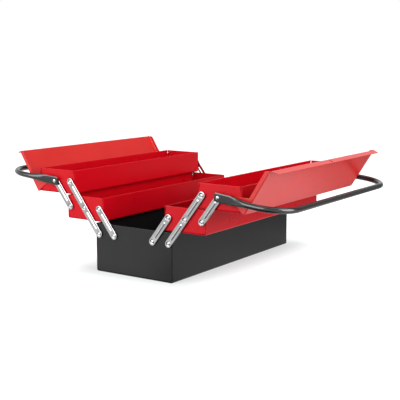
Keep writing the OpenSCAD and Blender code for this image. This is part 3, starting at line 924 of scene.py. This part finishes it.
class TOOLBOX_OT_handles(bpy.types.Operator):
    """Bend the two tube handles and flatten their ends"""

    bl_idname = "toolbox.handles"
    bl_label = "Handles"

    def execute(self, context):
        sizes = context.scene.tool_box_sizes
        for side in SIDES:
            node = side + "_handle"
            pivot = PIVOTS[node + "_lift"]
            arm_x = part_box(node)[1].x - sizes.tube
            paddle_x = paddle_face(side, sizes) - sizes.paddle_thick
            # The middle of the CAD handle's straight bar, seen from its pivot
            bar_end = arm_x - sizes.handle_bend + MM
            vertices = frame["nodes"][node].data.vertices
            straight = [vertex.co - pivot for vertex in vertices if abs(vertex.co.x) < bar_end]
            bar = sum(straight, Vector()) / len(straight)
            reach = math.hypot(bar.y, bar.z)
            mesh = handle_mesh(node + "_tube", sizes, arm_x, paddle_x, reach)
            turn = math.atan2(bar.z, bar.y)
            to_pivot = Matrix.Translation((0, pivot.y, pivot.z))
            mesh.transform(to_pivot @ Matrix.Rotation(turn, 4, "X"))
            piece = settled(node + "_tube", mesh)
            piece.data.materials.append(finish_of(node))
            hand_over(piece, node, [node])
        return {"FINISHED"}


class TOOLBOX_OT_stage(bpy.types.Operator):
    """Set up the pale floor, the soft lamps, the white surroundings and the camera"""

    bl_idname = "toolbox.stage"
    bl_label = "Stage"

    def execute(self, context):
        scene = context.scene
        stage = scene.tool_box_stage
        scene.view_settings.view_transform = "Standard"
        self.make_world(scene, stage)
        self.make_floor(scene, stage)
        self.make_lamps(scene, stage)
        self.make_camera(scene, stage)
        return {"FINISHED"}

    def make_world(self, scene, stage):
        """White for the camera, a plain level for soft light, and in gloss white that turns dim
        above and in front at the right"""
        world = bpy.data.worlds.new("studio")
        scene.world = world
        world.use_nodes = True
        tree = world.node_tree
        camera, mirrored = rays_of(tree)
        x, y, z = split(tree, coordinates_of(tree, "Generated"))
        right = (x * RIGHT_WAY[0] + y * RIGHT_WAY[1]).smooth(*RIGHT_RANGE)
        above = z.smooth(*ABOVE_RANGE)
        studio = (1 - right * (1 - stage.dim)) * (1 - above * (1 - stage.dim))
        light = mirrored.blend(stage.world, studio)
        background = tree.nodes["Background"]
        background.inputs["Color"].default_value = WHITE
        plug(tree, camera.blend(light, 1.0), background.inputs["Strength"])

    def floor_levels(self, tree, stage):
        """How much light the camera's floor gives off, least close round the base so that its
        shadow shows, and the floor's painted reflection: how bright it is painted in gloss and for
        soft light"""
        x, y, _ = split(tree, coordinates_of(tree, "Object"))
        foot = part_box("base_trough")[1]
        out_x = (x.math("ABSOLUTE") - foot.x).math("MAXIMUM", 0)
        out_y = (y.math("ABSOLUTE") - foot.y).math("MAXIMUM", 0)
        away = (out_x * out_x + out_y * out_y).math("SQRT")
        lift = away.smooth(0, stage.shadow_reach).blend(stage.floor_lift, 1.0)

        spot_x = (x - SPOT_CENTRE[0]) / SPOT_SIZE[0]
        spot_y = (y - SPOT_CENTRE[1]) / SPOT_SIZE[1]
        from_spot = (spot_x * spot_x + spot_y * spot_y).math("SQRT")
        beyond = x.smooth(*LEFT_RANGE).blend(stage.floor_left, 1.0)
        painted_gloss_level = from_spot.smooth(*SPOT_EDGE).blend(stage.floor_near, beyond)
        # Painted shadow of the trays on the floor, for gloss and soft light
        painted_tray_shadow = x.math("ABSOLUTE").smooth(*TRAY_SHADOW_X) * y.math("ABSOLUTE").smooth(*TRAY_SHADOW_Y)
        painted_gloss_level = x.smooth(*FAR_RANGE).blend(painted_gloss_level, stage.floor_far)
        return lift, painted_gloss_level * (1 - painted_tray_shadow * stage.floor_painted_shadow)

    def make_floor(self, scene, stage):
        """A pale floor. What the camera sees of it is lifted to white, down to its shadow. In gloss
        it shows a painted reflection: dim off the left end, under the trays and to the right
        """
        material = bpy.data.materials.new("pale_floor")
        material.use_nodes = True
        tree = material.node_tree
        tree.nodes.clear()
        camera, mirrored = rays_of(tree)
        lift, painted_gloss_level = self.floor_levels(tree, stage)
        faint = wire_of(tree, "ShaderNodeBsdfDiffuse", Color=FLOOR_SHOWN)
        glow = wire_of(tree, "ShaderNodeEmission", Color=WHITE, Strength=lift)
        shown = in_order(tree, "ShaderNodeAddShader", (faint, glow))
        # Soft light and gloss see the floor's painted reflection levels
        matte = wire_of(tree, "ShaderNodeBsdfDiffuse", Color=painted_gloss_level * FLOOR_BOUNCE)
        painted_reflection = wire_of(tree, "ShaderNodeEmission", Color=WHITE, Strength=painted_gloss_level)
        unseen = in_order(tree, "ShaderNodeMixShader", (mirrored, matte, painted_reflection))
        surface = in_order(tree, "ShaderNodeMixShader", (camera, unseen, shown))
        node_of(tree, "ShaderNodeOutputMaterial", Surface=surface)

        near, far = -FLOOR_HALF, FLOOR_HALF
        corners = [(near, near, 0), (far, near, 0), (far, far, 0), (near, far, 0)]
        mesh = bpy.data.meshes.new("floor")
        mesh.from_pydata(corners, [], [(0, 1, 2, 3)])
        mesh.materials.append(material)
        floor = bpy.data.objects.new("floor", mesh)
        scene.collection.objects.link(floor)

    def make_lamps(self, scene, stage):
        """Three soft boxes: overhead, beyond the left end and in front. No view shows them"""
        # Name, power, place, and width and height
        lamps = (
            ("overhead", stage.top_light, (0.2, -0.3, 2.3), (2.4, 2.0)),
            ("left_end", stage.left_light, (-2.3, 0.6, 1.2), (2.8, 2.0)),
            ("front", stage.front_light, (0.0, -2.3, 1.1), (1.6, 2.1)),
        )
        for name, power, place, size in lamps:
            light = bpy.data.lights.new(name, "AREA")
            light.shape = "RECTANGLE"
            light.size, light.size_y = size
            light.energy = power
            lamp = bpy.data.objects.new(name, light)
            lamp.location = place
            lamp.rotation_euler = (LAMP_AIM - Vector(place)).to_track_quat("-Z", "Y").to_euler()
            lamp.visible_camera = False
            scene.collection.objects.link(lamp)

    def make_camera(self, scene, stage):
        """The camera, where the photograph was taken from"""
        data = bpy.data.cameras.new("camera")
        data.sensor_width = 36
        data.lens = stage.lens
        data.clip_end = 50
        camera = bpy.data.objects.new("camera", data)
        level = math.cos(stage.elevation)
        ahead = Vector((
            math.sin(stage.azimuth) * level, math.cos(stage.azimuth) * level,
            -math.sin(stage.elevation),
        ))
        camera.location = stage.camera_place
        camera.rotation_euler = ahead.to_track_quat("-Z", "Y").to_euler()
        scene.collection.objects.link(camera)
        scene.camera = camera


STEPS = (
    TOOLBOX_OT_enamel, TOOLBOX_OT_links, TOOLBOX_OT_rivets, TOOLBOX_OT_handles, TOOLBOX_OT_stage,
)


class TOOLBOX_PT_steps(bpy.types.Panel):
    """The steps that dress the tool box, and their sizes and colours"""

    bl_idname = "TOOLBOX_PT_steps"
    bl_label = "Cantilever Tool Box"
    bl_space_type = "VIEW_3D"
    bl_region_type = "UI"
    bl_category = "Tool Box"

    def draw(self, context):
        for step in STEPS:
            self.layout.operator(step.bl_idname)
        scene = context.scene
        for group in (scene.tool_box_sizes, scene.tool_box_finish, scene.tool_box_stage):
            box = self.layout.box()
            for name in group.__annotations__:
                box.prop(group, name)


CLASSES = (ToolBoxSizes, ToolBoxFinish, ToolBoxStage, *STEPS, TOOLBOX_PT_steps)


def register():
    for kind in CLASSES:
        bpy.utils.register_class(kind)
    bpy.types.Scene.tool_box_sizes = PointerProperty(type=ToolBoxSizes)
    bpy.types.Scene.tool_box_finish = PointerProperty(type=ToolBoxFinish)
    bpy.types.Scene.tool_box_stage = PointerProperty(type=ToolBoxStage)


def unregister():
    del bpy.types.Scene.tool_box_stage
    del bpy.types.Scene.tool_box_finish
    del bpy.types.Scene.tool_box_sizes
    for kind in reversed(CLASSES):
        bpy.utils.unregister_class(kind)


def main():
    """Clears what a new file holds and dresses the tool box"""
    ours = {*frame["nodes"].values(), *frame["bodies"].values()}
    for item in list(bpy.data.objects):
        if item not in ours:
            bpy.data.objects.remove(item)
    register()
    for step in STEPS:
        group, name = step.bl_idname.split(".")
        getattr(getattr(bpy.ops, group), name)()


if __name__ == "__main__":
    main()
